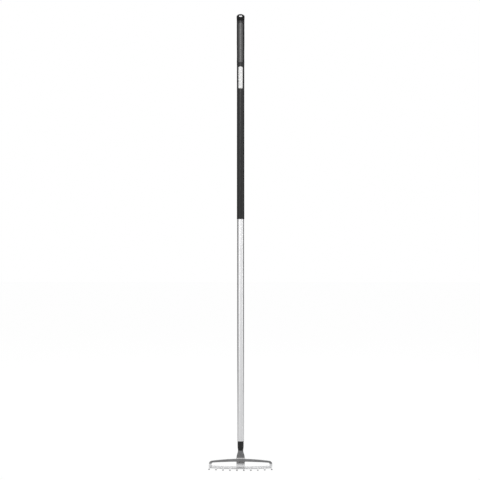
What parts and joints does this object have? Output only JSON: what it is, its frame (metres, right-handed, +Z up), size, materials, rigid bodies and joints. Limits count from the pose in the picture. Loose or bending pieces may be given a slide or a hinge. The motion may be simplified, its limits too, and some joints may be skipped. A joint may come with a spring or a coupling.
{
  "type": "shrub rake",
  "caption": "Narrow welded steel rake head with blunt flat tines under a looped bow, on a long tubular shaft with a plastic sleeve, a padded grip and a hang hole.",
  "frame": {"origin": "middle of the hang hole in the end cap, on the shaft's axis", "axes": "+Z up the shaft towards the end cap, +X across the head, the tines point to -Y"},
  "size_m": [0.23, 0.0731, 1.6489],
  "materials": {
    "shaft_aluminium": "satin drawn tube, faint lengthwise lines",
    "sleeve_plastic": "black, slightly glossy",
    "inlay_plastic": "white, smooth",
    "grip_plastic": "black moulded plastic",
    "pad_rubber": "dark grey soft moulding, fine texture",
    "bushing_plastic": "black moulded plastic",
    "head_steel": "bare satin steel, lightly blasted",
    "weld_steel": "weld bead with fine ripples",
    "rivet_steel": "plain zinc grey"
  },
  "bodies": {
    "root": {"shaft_tube": "shaft_aluminium", "shaft_sleeve": "sleeve_plastic", "sleeve_inlay": "inlay_plastic", "grip_core": "grip_plastic", "grip_pad": "pad_rubber", "end_cap": "grip_plastic", "socket_bushing": "bushing_plastic", "shaft_rivet": "rivet_steel", "neck": "head_steel", "bow": "head_steel", "tine_bar": "head_steel", "tine_01": "head_steel", "tine_02": "head_steel", "tine_03": "head_steel", "tine_04": "head_steel", "tine_05": "head_steel", "tine_06": "head_steel", "tine_07": "head_steel", "tine_08": "head_steel", "tine_09": "head_steel", "tine_10": "head_steel", "bow_weld_upper": "weld_steel", "bow_weld_lower": "weld_steel", "bar_end_weld_left": "weld_steel", "bar_end_weld_right": "weld_steel", "neck_foot_weld": "weld_steel"}
  },
  "joints": []
}
